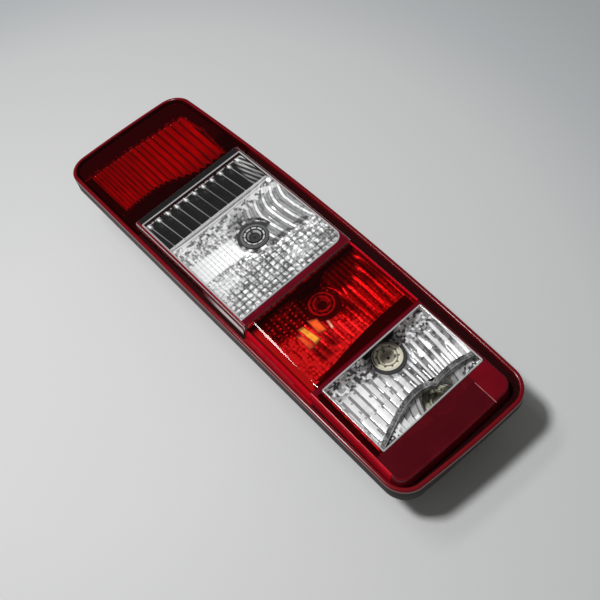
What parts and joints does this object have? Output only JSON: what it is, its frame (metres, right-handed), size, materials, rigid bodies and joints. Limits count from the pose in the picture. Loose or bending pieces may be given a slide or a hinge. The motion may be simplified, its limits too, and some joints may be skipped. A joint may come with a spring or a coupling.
{
  "type": "tail light cluster",
  "caption": "Long tail light cluster: red stepped lens with two clear windows over metallised reflectors, on a black housing with a bulb carrier.",
  "frame": {"origin": "centre of the bounding box at the mounting faces of the bosses", "axes": "+X along the lamp towards the end with the smooth red panel, +Z out of the lens, -Y towards the outboard side with the deep skirt"},
  "size_m": [0.455, 0.138, 0.0848],
  "materials": {
    "red_lens": "polished",
    "clear_lens": "polished",
    "metallised": "metallised",
    "red_panel": "polished",
    "black_gloss": "polished",
    "grey_wall": "metallised",
    "black_housing": "moulded",
    "carrier": "moulded",
    "dark_holder": "moulded",
    "pale_holder": "moulded",
    "seal": "matt",
    "foam": "matt",
    "brass": "turned",
    "contact": "stamped",
    "screw": "zinc plated"
  },
  "bodies": {
    "root": {"outer_lens": "red_lens", "upper_window": "clear_lens", "lower_window": "clear_lens", "far_bezel": "black_gloss", "far_reflector": "red_panel", "strip_plate": "black_gloss", "window_bar": "clear_lens", "upper_reflector": "metallised", "middle_reflector": "metallised", "middle_bezel": "black_gloss", "lower_reflector": "metallised", "gull_divider": "grey_wall", "fog_reflector": "metallised", "housing": "black_housing", "housing_flange": "black_housing", "housing_back": "black_housing", "body_gasket": "foam", "mount_inserts": "brass", "bulb_carrier": "carrier", "carrier_gasket": "seal", "carrier_screws": "screw", "contact_strips": "contact", "connector_shell": "black_housing", "connector_pins_set": "contact", "holder_upper": "dark_holder", "holder_middle": "dark_holder", "holder_lower": "pale_holder", "holder_fog": "pale_holder", "holder_seals": "seal", "socket_contacts": "contact", "breather_caps": "black_housing"}
  },
  "joints": []
}
